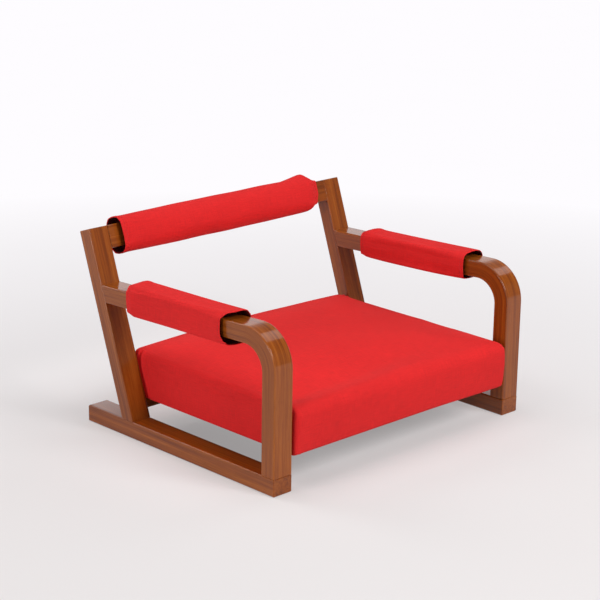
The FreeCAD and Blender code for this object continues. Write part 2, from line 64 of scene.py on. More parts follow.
# The timber's sizes and angles, and where its front lies in the model's frame
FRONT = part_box("left_runner")[0].y
LEAN, RISE = math.radians(19.2), math.radians(2.2)
INNER, OUTER = 260.0, 300.0
TIMBER_HALF, ARM_HALF, UPRIGHT_HALF = 20, 15, 14
RUNNER_LENGTH, RUNNER_HEIGHT, RUNNER_END_ROUND = 472, 30, 5
ARM_HEIGHT, UPRIGHT_FOOT, UPRIGHT_TOP = 273, 350, 349
BEND_OUTSIDE, BEND_INSIDE, BEND_STEPS = 66, 40, 26
EDGE_ROUND = 2.2

# Sizes of the soft parts
SEAT_LOW, SEAT_EDGE, SEAT_BACK = 58.0, 141.0, 388.8
SEAT_CROWN, SEAT_BACK_SLOPE, SEAT_SWELL = 7.0, 0.47, 8.0
ARM_SLEEVE_FRONT, ARM_SLEEVE_LENGTH = 105, 250
BACK_SLEEVE_GAP, BACK_SLEEVE_LENGTH = 24, 475
SLEEVE_SWELL = 3.0

# Forms that the simulation blows up start this much smaller
SIM_SPARE = 1.0

# Directions and corners in the working frame
ACROSS, UP, AHEAD = Vector((1, 0, 0)), Vector((0, 0, 1)), Vector((0, -1, 0))
ALONG_ARM = Vector((0, math.cos(RISE), -math.sin(RISE)))
OVER_ARM = Vector((0, math.sin(RISE), math.cos(RISE)))
UP_BACK = Vector((0, math.sin(LEAN), math.cos(LEAN)))
OUT_OF_BACK = Vector((0, -math.cos(LEAN), math.sin(LEAN)))
FOOT = Vector((0, UPRIGHT_FOOT, RUNNER_HEIGHT))
TOP_CORNER = FOOT + UP_BACK * ((UPRIGHT_TOP - RUNNER_HEIGHT) / math.cos(LEAN))
RAIL_MIDDLE = TOP_CORNER - UP_BACK * TIMBER_HALF - OUT_OF_BACK * UPRIGHT_HALF


def at(point):
    return Vector((point[0] / 1000, point[1] / 1000 + FRONT, point[2] / 1000))


def arm_line(y):
    """A point on the middle line of an arm."""
    return Vector((0, 0, ARM_HEIGHT)) + ALONG_ARM * (y / math.cos(RISE)) - OVER_ARM * ARM_HALF


def bend_middle(depth, radius):
    """Centre of an arc that touches lines a depth inside the post's front and the arm's top."""
    r = radius + depth
    return Vector((0, r, ARM_HEIGHT - r * (1 + math.sin(RISE)) / math.cos(RISE)))


OUTER_BEND = bend_middle(0, BEND_OUTSIDE)
INNER_BEND = bend_middle(2 * ARM_HALF, BEND_INSIDE)


def ease(x):
    x = np.clip(x, 0, 1)
    return x * x * (3 - 2 * x)


def fade(x, none, full):
    """0 where x is none, 1 where it is full, and smooth between."""
    return ease((x - none) / (full - none))


def pointing(turn):
    return np.array((math.cos(turn), math.sin(turn)))


def groove(x, ridge):
    """A groove's depth at x widths from its middle, less a low ridge at each side of it."""
    return np.exp(-x * x) - ridge * np.exp(-(np.abs(x) - 1.9) ** 2)


# Materials

def rgb(red, green, blue):
    """An sRGB colour from 0 to 255, as Blender's linear one."""
    def linear(c):
        return (c / 255 / 12.92) if c <= 10 else ((c / 255 + 0.055) / 1.055) ** 2.4
    return linear(red), linear(green), linear(blue), 1


class Nodes:
    """The nodes of a new material or world, added one by one."""

    def __init__(self, name, kind="materials"):
        self.owner = getattr(bpy.data, kind).new(name)
        self.owner.use_nodes = True
        self.tree = self.owner.node_tree
        self.tree.nodes.clear()

    def add(self, kind, inputs=None, out=0, **settings):
        node = self.tree.nodes.new("ShaderNode" + kind)
        for key, value in settings.items():
            setattr(node, key, value)
        for key, value in (inputs or {}).items():
            if isinstance(value, bpy.types.NodeSocket):
                self.tree.links.new(value, node.inputs[key])
            else:
                node.inputs[key].default_value = value
        return node.outputs[out] if len(node.outputs) else None

    def maths(self, operation, a, b=0.0, c=0.0):
        return self.add("Math", {0: a, 1: b, 2: c}, operation=operation)

    def scaled(self, vector, x, y, z):
        return self.add("VectorMath", {0: vector, 1: (x, y, z)}, operation="MULTIPLY")

    def speckle(self, vector, scale=1.0, detail=2.0, rough=0.5, warp=0.0):
        return self.add("TexNoise", {"Vector": vector, "Scale": scale, "Detail": detail, "Roughness": rough,
                                     "Distortion": warp})

    def grained(self, vector, across, along, **settings):
        """Speckle drawn out along Z, from its spots in a metre across and along."""
        return self.speckle(self.scaled(vector, across, across, along), **settings)

    def ramp(self, value, *stops):
        node = self.tree.nodes.new("ShaderNodeValToRGB")
        marks = node.color_ramp.elements
        while len(marks) < len(stops):
            marks.new(0.5)
        for mark, (place, colour) in zip(marks, stops):
            mark.position = place
            mark.color = colour if hasattr(colour, "__len__") else (colour, colour, colour, 1)
        self.tree.links.new(value, node.inputs[0])
        return node.outputs[0]

    def mix(self, share, a, b, blend="MIX"):
        return self.add("Mix", {0: share, 6: a, 7: b}, out=2, data_type="RGBA", blend_type=blend)

    def bump(self, height, strength, distance):
        return self.add("Bump", {"Height": height, "Strength": strength, "Distance": distance})

    def seen(self):
        """1 to the camera, in reflections and through clear things, and 0 to all other light."""
        path = self.add("LightPath").node.outputs
        seen = self.maths("MAXIMUM", path["Is Camera Ray"], path["Is Glossy Ray"])
        return self.maths("MAXIMUM", seen, path["Is Transmission Ray"])

    def done(self, **inputs):
        """Ends the material with a Principled surface; underscores stand for spaces."""
        shader = self.add("BsdfPrincipled", {k.replace("_", " "): v for k, v in inputs.items()})
        self.add("OutputMaterial", {"Surface": shader})
        return self.owner


def wood(name, dark, middle, light, length_axis=None, lacquer=True):
    """Timber with its grain along the piece, by the mesh's own grain directions or along an object axis."""
    p = Nodes(name)
    if length_axis is None:
        v = p.add("Attribute", out=1, attribute_name="grain")
    else:
        v = p.add("TexCoord", out=3)
        if length_axis != "Z":
            turn = {"X": (0, math.pi / 2, 0), "Y": (math.pi / 2, 0, 0)}[length_axis]
            v = p.add("Mapping", {"Vector": v, "Rotation": turn})
    broad = p.grained(v, 40, 2.2, detail=2, warp=0.4)
    rings = p.grained(v, 170, 3.2, detail=4, rough=0.6, warp=0.5)
    fibre = p.grained(v, 820, 12, detail=3, rough=0.6)
    pores = p.ramp(p.grained(v, 1500, 60, detail=1), (0.33, 0), (0.42, 1))
    tone = p.maths("MULTIPLY_ADD", broad, 0.25, p.maths("MULTIPLY", fibre, 0.25))
    tone = p.maths("MULTIPLY_ADD", rings, 0.6, tone)
    colour = p.ramp(tone, (0.36, dark), (0.55, middle), (0.76, light))
    colour = p.mix(p.maths("MULTIPLY", p.maths("SUBTRACT", 1.0, pores), 0.3), colour, dark)
    height = p.maths("MULTIPLY_ADD", fibre, 0.5, p.maths("MULTIPLY", pores, 0.5))
    if not lacquer:
        return p.done(Base_Color=colour, Roughness=0.62, Normal=p.bump(height, 0.5, 0.0003))
    film = p.grained(v, 330, 5, detail=2, rough=0.55)
    return p.done(Base_Color=colour, Roughness=p.maths("MULTIPLY_ADD", rings, 0.16, 0.26),
                  Normal=p.bump(height, 0.25, 0.0002), Specular_IOR_Level=0.08,
                  Coat_Weight=1.0, Coat_IOR=1.35, Coat_Roughness=0.1, Coat_Normal=p.bump(film, 0.1, 0.0004))


def cloth(name, base, pitch=1.25, depth=0.4, sheen=0.03, rough=0.85):
    """Plain weave that follows the mesh's own cloth directions, with pitch millimetres to a thread pair."""
    p = Nodes(name)
    v = p.add("Attribute", out=1, attribute_name="cloth")
    wander = p.add("TexNoise", {"Vector": v, "Scale": 90.0, "Detail": 1.0}, out=1)
    drift = p.add("VectorMath", {0: wander, 1: (0.0007, 0.0007, 0.0), 2: v}, operation="MULTIPLY_ADD")
    apart = p.add("SeparateXYZ", {0: drift}).node
    turns = 2 * math.pi / (pitch / 1000)
    across = p.maths("SINE", p.maths("MULTIPLY", apart.outputs[0], turns))
    along = p.maths("SINE", p.maths("MULTIPLY", apart.outputs[1], turns))
    weave = p.maths("MULTIPLY_ADD", p.maths("MULTIPLY", across, along), 0.5, 0.5)
    slub_along = p.speckle(p.scaled(v, 45, 900, 1), detail=2)
    slub_across = p.speckle(p.scaled(v, 900, 45, 1), detail=2)
    slub = p.maths("MULTIPLY_ADD", slub_along, 0.5, p.maths("MULTIPLY", slub_across, 0.5))
    cloud = p.speckle(v, scale=8.0, detail=4)
    shade = p.maths("MULTIPLY_ADD", slub, 1.1, p.maths("MULTIPLY", cloud, 0.35))
    shade = p.maths("MULTIPLY_ADD", weave, 0.30, shade)
    shade = p.add("MapRange", {0: shade, 1: 0.45, 2: 1.30, 3: 0.72, 4: 1.22})
    colour = p.mix(1.0, base, p.add("CombineColor", {0: shade, 1: shade, 2: shade}), "MULTIPLY")
    height = p.maths("MULTIPLY_ADD", weave, 0.6, p.maths("MULTIPLY", slub, 0.8))
    return p.done(Base_Color=colour, Roughness=rough, Normal=p.bump(height, depth, 0.0004),
                  Specular_IOR_Level=0.16, Sheen_Weight=sheen, Sheen_Roughness=0.6,
                  Sheen_Tint=(1.0, 0.6, 0.55, 1))


def plain(name, base, rough, metal=0.0, grain=900.0, depth=0.15):
    """Metal, thread or foam: a finely mottled colour with a matching bump, by object position."""
    p = Nodes(name)
    v = p.add("TexCoord", out=3)
    fine = p.speckle(v, scale=grain, detail=3)
    wide = p.speckle(v, scale=grain / 12, detail=2)
    share = p.maths("MULTIPLY_ADD", fine, 0.6, p.maths("MULTIPLY", wide, 0.4))
    spread = 0.12
    low = tuple(c * (1 - spread) for c in base[:3]) + (1,)
    high = tuple(min(c * (1 + spread), 1) for c in base[:3]) + (1,)
    return p.done(Base_Color=p.ramp(share, (0.35, low), (0.65, high)), Metallic=metal,
                  Roughness=p.maths("MULTIPLY_ADD", wide, 0.2, rough - 0.1),
                  Normal=p.bump(fine, depth, 0.0002))


BROWNS = rgb(100, 42, 9), rgb(147, 73, 17), rgb(178, 99, 32)
BEECHES = rgb(168, 118, 72), rgb(196, 150, 100), rgb(216, 176, 128)
PINES = rgb(176, 130, 78), rgb(208, 166, 110), rgb(226, 192, 142)
BIRCHES = rgb(178, 138, 92), rgb(206, 170, 124), rgb(224, 194, 154)
timber_paint = wood("lacquered_timber_grain", *BROWNS)
red = cloth("red_woven_cloth", rgb(227, 39, 40))
# The sleeves' inner cloth is nearly black-red: painted shade for the dark inside of each sleeve, darker than
# the cloth's own red
inside_cloth_painted_shade = cloth("red_cloth_inside_painted_shade", rgb(78, 9, 12), sheen=0.01, rough=0.95)
thread = plain("red_thread", rgb(188, 30, 34), 0.7, grain=2500)
CARRIED_OVER = {
    "lacquered_timber": wood("lacquered_timber_rail", *BROWNS, "X"),
    "tenon_wood": wood("beech_tenon", *BEECHES, "Z", False),
    "softwood": wood("pine_rail", *PINES, "X", False),
    "plywood": wood("birch_ply", *BIRCHES, "Y", False),
    "zinc_steel": plain("zinc_plated_steel", rgb(176, 178, 182), 0.36, metal=1.0),
    "foam": plain("foam", rgb(222, 208, 160), 0.9, grain=1500, depth=0.6),
}


# Meshes

def piece(name, points, faces, paints, stands_for=(), grain=None, cloths=None):
    """A named piece from points in metres; grain is one vector a point, cloths one a face corner."""
    mesh = bpy.data.meshes.new(name)
    mesh.from_pydata([tuple(p) for p in points], [], [tuple(int(i) for i in f) for f in faces])
    for kind, domain, vectors in (("grain", "POINT", grain), ("cloth", "CORNER", cloths)):
        if vectors is not None:
            layer = mesh.attributes.new(kind, "FLOAT_VECTOR", domain)
            layer.data.foreach_set("vector", np.asarray(vectors, float).ravel())
    for paint in paints:
        mesh.materials.append(paint)
    thing = bpy.data.objects.new(name, mesh)
    scene.collection.objects.link(thing)
    if cloths is None:
        work = bmesh.new()
        work.from_mesh(mesh)
        bmesh.ops.recalc_face_normals(work, faces=work.faces)
        work.to_mesh(mesh)
        work.free()
    mesh.shade_smooth()
    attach(thing, "root")
    if stands_for:
        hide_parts(*stands_for)
    return thing


def band(first, second, count):
    """Faces between two rings of points, from the index at which each ring starts."""
    nexts = [(i + 1) % count for i in range(count)]
    return [(first + i, first + j, second + j, second + i) for i, j in enumerate(nexts)]


def rod(first, last, sides):
    """Faces of a closed rod, from the indices at which its first and last rings start."""
    faces = []
    for row in range(first, last, sides):
        faces += band(row, row + sides, sides)
    return faces + [range(first, first + sides)[::-1], range(last, last + sides)]


def oblong(half, low, high, radius, inset):
    """Points round a rounded oblong, with a guard point just before and after each corner."""
    steps, guard = 5, 0.4
    r = max(radius - inset, 0.02)
    points = []
    for sx, sy, start in ((1, 1, 0), (-1, 1, 90), (-1, -1, 180), (1, -1, 270)):
        mx = sx * (half - inset - r)
        my = high - inset - r if sy > 0 else low + inset + r
        for k in range(-1, steps + 2):
            turn = math.radians(start + 90 * min(max(k, 0), steps) / steps)
            past = -guard if k < 0 else guard if k > steps else 0
            points.append((mx + r * math.cos(turn) - past * math.sin(turn),
                           my + r * math.sin(turn) + past * math.cos(turn)))
    return points


def timber(name, path, low, high, seed, cuts, trim=None):
    """A bar along a path of (centre, across, outward), cut at both ends by planes of (point, normal, easing).

    A station may end with its own low and high faces. seed moves the bar to another place in the grain, and
    trim is a last change to each point.
    """
    grain_x, grain_y = 0.173 * seed, 0.091 * seed
    centres = [station[0] for station in path]
    length = [0.0]
    for p, q in zip(centres, centres[1:]):
        length.append(length[-1] + (q - p).length)
    points, grain = [], []

    def ring(i, inset, cut=None, back=0.0):
        centre, across, outward = path[i][:3]
        lo, hi = path[i][3:] or (low, high)
        j, k = (0, 1) if i == 0 else (i - 1, i)
        along = (centres[k] - centres[j]).normalized()
        for a, b in oblong(TIMBER_HALF, lo, hi, EDGE_ROUND, inset):
            q = centre + across * a + outward * b
            s = length[i]
            if cut:
                step = ((cut[0] - q).dot(cut[1]) - back) / along.dot(cut[1])
                q = q + along * step
                s += step
            if trim:
                q = trim(q)
            points.append(at(q))
            grain.append((a / 1000 + grain_x, b / 1000 + grain_y, s / 1000))

    def end(i, cut):
        """Rings that round the cut's edge, with one guard ring on the cut and one on the bar."""
        easing, guard_in, guard_back = cut[2], 0.5, 0.6
        steps = [(easing + guard_in, 0.0)]
        for degrees in (0, 22.5, 45, 67.5, 90):
            turn = math.radians(degrees)
            steps.append((easing * (1 - math.sin(turn)), easing * (1 - math.cos(turn))))
        steps.append((0.0, easing + guard_back))
        for inset, back in steps if i == 0 else steps[::-1]:
            ring(i, inset, cut, back)

    end(0, cuts[0])
    for i in range(1, len(path) - 1):
        ring(i, 0.0)
    end(len(path) - 1, cuts[1])
    count = len(oblong(TIMBER_HALF, low, high, EDGE_ROUND, 0.0))
    last = len(points) - count
    faces = [range(count), range(last, last + count)[::-1]]
    for first in range(0, last, count):
        faces += band(first, first + count, count)
    piece(name, points, faces, [timber_paint], [name], grain)


def runner_end(point):
    """Rounds the top of a runner's rear end."""
    over = point.y - (RUNNER_LENGTH - RUNNER_END_ROUND)
    if over <= 0:
        return point
    drop = math.sqrt(max(RUNNER_END_ROUND ** 2 - over * over, 0))
    return Vector((point.x, point.y, point.z * (RUNNER_HEIGHT - RUNNER_END_ROUND + drop) / RUNNER_HEIGHT))


def runner(side, middle, seed):
    """A floor runner, with stations closer together where its rear end is rounded."""
    stations = (0, 60, 200, 400, 467.01, 468.2, 469.3, RUNNER_LENGTH)
    path = [(middle + Vector((0, y, RUNNER_HEIGHT / 2)), ACROSS, UP) for y in stations]
    cuts = (Vector((0, 0, 0)), AHEAD, 1.4), (Vector((0, RUNNER_LENGTH, 0)), -AHEAD, 1.8)
    timber(f"{side}_runner", path, -RUNNER_HEIGHT / 2, RUNNER_HEIGHT / 2, seed, cuts, runner_end)


def arm_leg(side, middle, seed):
    """Post, bend and arm in one; the bend lies between arcs about two middles, fuller than the runs."""
    heights = (RUNNER_HEIGHT, 60, 120, INNER_BEND.z - 10)
    path = [(middle + Vector((0, ARM_HALF, z)), ACROSS, AHEAD) for z in heights]
    for k in range(BEND_STEPS + 1):
        turn = (math.pi / 2 + RISE) * k / BEND_STEPS
        out = Vector((0, -math.cos(turn), math.sin(turn)))
        outside, inside = OUTER_BEND + out * BEND_OUTSIDE, INNER_BEND + out * BEND_INSIDE
        depth = (outside - inside).length / 2
        path.append((middle + (outside + inside) / 2, ACROSS, (outside - inside).normalized(), -depth, depth))
    path += [(middle + arm_line(y), ACROSS, OVER_ARM) for y in (86, 170, 260, 340)]
    cuts = (Vector((0, 0, RUNNER_HEIGHT)), -UP, 0.6), (FOOT, -OUT_OF_BACK, 0.5)
    timber(f"{side}_arm_leg", path, -ARM_HALF, ARM_HALF, seed, cuts)


def back_upright(side, middle, seed):
    foot = middle + FOOT - OUT_OF_BACK * UPRIGHT_HALF
    path = [(foot + UP_BACK * d, ACROSS, OUT_OF_BACK) for d in (20, 100, 200, UPRIGHT_TOP - RUNNER_HEIGHT)]
    cuts = (FOOT, -UP, 0.6), (TOP_CORNER, UP_BACK, 1.6)
    timber(f"{side}_back_upright", path, -UPRIGHT_HALF, UPRIGHT_HALF, seed, cuts)


def top_back_rail(seed):
    path = [(RAIL_MIDDLE + ACROSS * x, UP_BACK, OUT_OF_BACK) for x in (-INNER, -INNER / 2, INNER / 2, INNER)]
    cuts = (-ACROSS * INNER, -ACROSS, 0.5), (ACROSS * INNER, ACROSS, 0.5)
    timber("top_back_rail", path, -UPRIGHT_HALF, UPRIGHT_HALF, seed, cuts)


for side, sign, seed in (("left", 1, 1), ("right", -1, 5)):
    side_middle = ACROSS * sign * (INNER + OUTER) / 2
    runner(side, side_middle, seed)
    arm_leg(side, side_middle, seed + 1)
    back_upright(side, side_middle, seed + 2)
top_back_rail(9)


# Tools for cloth

def numbers(thing):
    points = np.empty(len(thing.data.vertices) * 3)
    thing.data.vertices.foreach_get("co", points)
    return points.reshape(-1, 3)


def normals(thing):
    found = np.empty(len(thing.data.vertices) * 3)
    thing.data.vertex_normals.foreach_get("vector", found)
    return found.reshape(-1, 3)


def move(thing, points):
    thing.data.vertices.foreach_set("co", points.ravel())
    thing.data.update()


def puff(thing, free, cap, pressure):
    """Blows a closed form up as cloth; each point moves no further than its share of cap, in mm."""
    last_frame, stiff = 20, 12.0
    start = numbers(thing)
    held = thing.vertex_groups.new(name="held")
    for share in np.unique(np.round(free, 2)):
        if share < 1:
            chosen = [int(i) for i in np.flatnonzero(np.round(free, 2) == share)]
            held.add(chosen, float(1 - share), "REPLACE")
    blown = thing.modifiers.new("cloth", "CLOTH")
    s = blown.settings
    s.quality = 5
    s.mass = 0.25
    s.tension_stiffness = s.compression_stiffness = stiff
    s.shear_stiffness = stiff / 2
    s.bending_stiffness = 1.0
    s.use_pressure = True
    s.uniform_pressure_force = pressure
    s.effector_weights.gravity = 0
    s.vertex_group_mass = "held"
    blown.point_cache.frame_start, blown.point_cache.frame_end = 1, last_frame
    for f in range(1, last_frame + 1):
        scene.frame_set(f)
    shown = thing.evaluated_get(bpy.context.evaluated_depsgraph_get())
    moved = numbers(shown) - start
    thing.modifiers.remove(blown)
    thing.vertex_groups.remove(held)
    scene.frame_set(1)
    far = np.linalg.norm(moved, axis=1)
    most = np.maximum(cap / 1000 * free, 1e-6)
    share = most * np.tanh(far / most) / np.maximum(far, 1e-9)
    move(thing, start + moved * share[:, None])


def finer(thing):
    """One subdivision, kept in the mesh."""
    thing.modifiers.new("finer", "SUBSURF").levels = 1
    graph = bpy.context.evaluated_depsgraph_get()
    fine = thing.evaluated_get(graph)
    mesh = bpy.data.meshes.new_from_object(fine, preserve_all_data_layers=True, depsgraph=graph)
    thing.modifiers.clear()
    thing.data = mesh
    mesh.shade_smooth()


def crease(thing, line, depth, width, toward, ridge, taper):
    """Presses a groove along a line of points, with a low ridge at each side of it.

    toward is the way that its side of the piece faces, and the line is carried along the nearest axis to that
    side. taper is the share of the line over which each end fades.
    """
    points, out = numbers(thing), normals(thing)
    kept = np.arange(3) != np.argmax(np.abs(toward))
    line = np.array([tuple(at(p)) for p in line])[:, kept]
    lengths = np.linalg.norm(np.diff(line, axis=0), axis=1)
    total, done = lengths.sum(), 0.0
    plane = points[:, kept]
    best = np.full(len(points), 1e9)
    place = np.zeros(len(points))
    for a, b, size in zip(line, line[1:], lengths):
        t = np.clip(((plane - a) @ (b - a)) / size ** 2, 0, 1)
        d = np.linalg.norm(plane - a - t[:, None] * (b - a), axis=1)
        near = d < best
        best[near], place[near] = d[near], ((done + t * size) / total)[near]
        done += size
    push = depth / 1000 * ease(place / taper) * ease((1 - place) / taper)
    push = push * groove(best * 1000 / width, ridge)
    push = push * fade(out @ np.array(toward), 0.15, 0.5)
    move(thing, points - out * push[:, None])


def sewn(name, thing, rays):
    """A closed row of stitches round a piece, where rays of (start in mm, direction) meet it in turn."""
    stitch, gap, thick, sides = 3.6, 2.4, 0.42, 6
    profile = ((0.0, 0.45), (0.15, 0.85), (0.5, 1.0), (0.85, 0.85), (1.0, 0.45))
    corners = [v.co.copy() for v in thing.data.vertices]
    tree = BVHTree.FromPolygons(corners, [tuple(p.vertices) for p in thing.data.polygons])
    hits = []
    for start, way in rays:
        place, normal, _, _ = tree.ray_cast(at(start), way)
        if place is not None:
            hits.append((np.array(place) * 1000, np.array(normal)))
    hits.append(hits[0])
    places, facing = (np.array(part) for part in zip(*hits))
    run = np.concatenate([[0], np.cumsum(np.linalg.norm(np.diff(places, axis=0), axis=1))])

    def read(table, d):
        return np.array([np.interp(d, run, table[:, i]) for i in range(3)])

    count = int(run[-1] / (stitch + gap))
    pitch = run[-1] / count
    points, faces = [], []
    for n in range(count):
        first = len(points)
        begin = n * pitch + gap / 2
        tip = read(places, begin)
        along = read(places, begin + pitch - gap) - tip
        normal = read(facing, begin + stitch / 2)
        normal /= np.linalg.norm(normal)
        side = np.cross(normal, along)
        side /= np.linalg.norm(side)
        for t, r in profile:
            centre = tip + along * t + normal * (thick * (0.45 - 1.2 * (2 * t - 1) ** 4))
            for k in range(sides):
                turn = 2 * math.pi * k / sides
                way = side * math.cos(turn) + normal * math.sin(turn)
                points.append((centre + way * thick * r) / 1000)
        faces += rod(first, first + sides * (len(profile) - 1), sides)
    piece(name, points, faces, [thread])


# Seat

# Points along the seat's front and its sides, and all round
NX, NY = 96, 84
AROUND = 2 * (NX + NY)


def closer(u):
    """Spreads places from 0 to 1 so that they lie closer together at both ends."""
    return u - 0.6 * math.sin(2 * math.pi * u) / (2 * math.pi)


def outline(x, front, back, front_r, back_r):
    """Points of a rounded oblong in plan, and its outward directions there.

    They run anticlockwise from the middle of the front corner at -X, and lie closer together near corners.
    """
    corners = [((-x, front), front_r), ((x, front), front_r), ((x, back), back_r), ((-x, back), back_r)]
    points, outs = [], []
    for i, count in enumerate((NX, NY, NX, NY)):
        (a, ra), (b, rb) = corners[i], corners[(i + 1) % 4]
        along = np.array([(1, 0), (0, 1), (-1, 0), (0, -1)][i], float)
        out = np.array([along[1], -along[0]])
        a, b = np.array(a, float), np.array(b, float)
        straight = np.linalg.norm(b - a) - ra - rb
        bend = math.pi / 4 * ra
        total = math.pi / 4 * (ra + rb) + straight
        for k in range(count):
            d = total * closer(k / count)
            turn, r, centre = 0.0, 0.0, a + along * (ra + d - bend)
            if d < bend:
                turn, r, centre = d / ra - math.pi / 4, ra, a + along * ra - out * ra
            elif d > bend + straight:
                turn, r, centre = (d - bend - straight) / rb, rb, b - along * rb - out * rb
            way = out * math.cos(turn) + along * math.sin(turn)
            points.append(centre + way * r)
            outs.append(way)
    return np.array(points), np.array(outs)


def seat_ring(level, insets):
    """A ring round the seat, from each point's height and how far in it lies at front, back and sides."""
    mean = float(np.mean(level))
    shy = SIM_SPARE * min(max((mean - 64) / 24, 0), 1)
    half = np.interp(mean, (58, 75, 95, 115, 128), (255.6, 257.2, 258.0, 257.6, 256.0)) - shy - insets[2]
    front = np.interp(mean, (58, 80, 100, 120), (-2.6, -6.0, -8.4, -9.0)) + shy + insets[0]
    front_r = np.interp(mean, (58, 80, 110), (5, 6, 8)) - insets[0] / 8
    back_r = max(9 - insets[1] / 4, 6)
    points, _ = outline(half, front, SEAT_BACK - shy - insets[1], front_r, back_r)
    points[:, 1] += fade(points[:, 1], 150, 360) * (level - 100) * SEAT_BACK_SLOPE
    return np.column_stack([points, level])


def seat_rings():
    """Rings from the underside's edge round the heel, up the sides and round the shoulder to the top."""
    plan, out = outline(1, -1, 1, 0.05, 0.05)
    ahead, behind = np.clip(-out[:, 1], 0, 1) ** 2, np.clip(out[:, 1], 0, 1) ** 2
    beside = out[:, 0] ** 2
    bow = 1 - plan[:, 0] ** 2
    heel = 6 * ahead + 3 * behind + 2.5 * beside
    side_shoulder = np.interp(plan[:, 1], (-1, -0.6, -0.3, 0.2, 0.7, 0.9, 1), (13, 9, 10, 13, 15, 12, 8))
    shoulder = (18 + 7 * bow) * ahead + 10 * behind + side_shoulder * beside
    edge = SEAT_EDGE - SIM_SPARE + (5 * ahead + 4.5 * behind) * bow
    heel_insets, shoulder_insets = np.array((7, 3, 3)), np.array((23, 10, 12))
    wall_steps = 14
    rings = []
    for degrees in (0, 30, 60):
        turn = math.radians(degrees)
        rings.append(seat_ring(SEAT_LOW + heel * (1 - math.cos(turn)), heel_insets * (1 - math.sin(turn))))
    for k in range(wall_steps):
        level = SEAT_LOW + heel + (edge - shoulder - SEAT_LOW - heel) * (k / wall_steps)
        rings.append(seat_ring(level, (0, 0, 0)))
    for degrees in np.linspace(0, 90, 9):
        turn = math.radians(degrees)
        insets = shoulder_insets * (1 - math.cos(turn))
        rings.append(seat_ring(edge - shoulder * (1 - math.sin(turn)), insets))
    return rings


def seat_patch(edge, crown):
    """Points that fill a ring in, with the crown as a rise over the middle."""
    inside = []
    for j in range(1, NY):
        v = closer(j / NY)
        for i in range(1, NX):
            u = closer(i / NX)
            low, high = edge[i], edge[2 * NX + NY - i]
            left, right = edge[AROUND - j], edge[NX + j]
            blend = ((1 - v) * low + v * high + (1 - u) * left + u * right
                     - (1 - u) * (1 - v) * edge[0] - u * (1 - v) * edge[NX]
                     - u * v * edge[NX + NY] - (1 - u) * v * edge[2 * NX + NY])
            rise = (1 - abs(2 * u - 1) ** 3.2) * (1 - abs(2 * v - 1) ** 3.6)
            inside.append(blend + np.array([0, 0, crown * rise]))
    return np.array(inside)


def seat_spot(i, j, ring, inside):
    """The index of a patch's point, from where its ring and its inside start."""
    if j == 0 and i < NX:
        return ring + i
    if i == NX and j < NY:
        return ring + NX + j
    if j == NY and i > 0:
        return ring + 2 * NX + NY - i
    if i == 0 and j > 0:
        return ring + AROUND - j
    return inside + (j - 1) * (NX - 1) + i - 1


def seat_freedom(heights, top_ring, top_start, low_start):
    """How free each point is to swell: most in the middle of the top, and not at all underneath."""
    free = np.clip((heights - 64) / 22, 0, 1) * 0.34
    free[top_start:low_start] = 1.0
    free[top_ring:top_start] = 0.75
    free[low_start:] = 0
    for step in range(1, 5):
        ringed = slice(top_ring - step * AROUND, top_ring - (step - 1) * AROUND)
        free[ringed] = np.maximum(free[ringed], 0.75 - step * 0.1)
    return free


def seat_cushion():
    """The upholstered seat: a crowned closed form over its hidden frame, drawn in towards its corners."""
    rings = seat_rings()
    steps = [np.linalg.norm(b - a, axis=1) for a, b in zip(rings, rings[1:])]
    depth = np.vstack([np.zeros(AROUND), np.cumsum(steps, axis=0)])
    top_ring = AROUND * (len(rings) - 1)
    top_start = top_ring + AROUND
    low_start = top_start + (NX - 1) * (NY - 1)
    points = np.vstack(rings + [seat_patch(rings[-1], SEAT_CROWN), seat_patch(rings[0], 0.0)])
    faces, marks = [], []

    # The cloth's threads run straight down each side from the top's edge
    for r in range(len(rings) - 1):
        for m, face in enumerate(band(r * AROUND, (r + 1) * AROUND, AROUND)):
            faces.append(face)
            part = 0 if m < NX else 1 if m < NX + NY else 2 if m < 2 * NX + NY else 3
            for index in face:
                fall = depth[-1][index % AROUND] - depth[index // AROUND][index % AROUND]
                x, y, _ = points[index]
                places = (x, -fall - 10, 0), (260 + fall, y, 0), (x, 380 + fall, 0), (-260 - fall, y, 0)
                marks.append(places[part])
    underside_marks = 700
    for ring, inside, way, shift in ((top_ring, top_start, 1, 0), (0, low_start, -1, underside_marks)):
        for j in range(NY):
            for i in range(NX):
                corners = ((i, j), (i + 1, j), (i + 1, j + 1), (i, j + 1))
                face = [seat_spot(*corner, ring, inside) for corner in corners][::way]
                faces.append(face)
                marks += [(points[q][0] + shift, points[q][1], 0) for q in face]
    thing = piece("seat_cushion", [at(p) for p in points], faces, [red],
                  ["seat_cover", "seat_foam"], cloths=np.array(marks) / 1000)
    puff(thing, seat_freedom(points[:, 2], top_ring, top_start, low_start), SEAT_SWELL, pressure=4.0)
    finer(thing)
    return thing


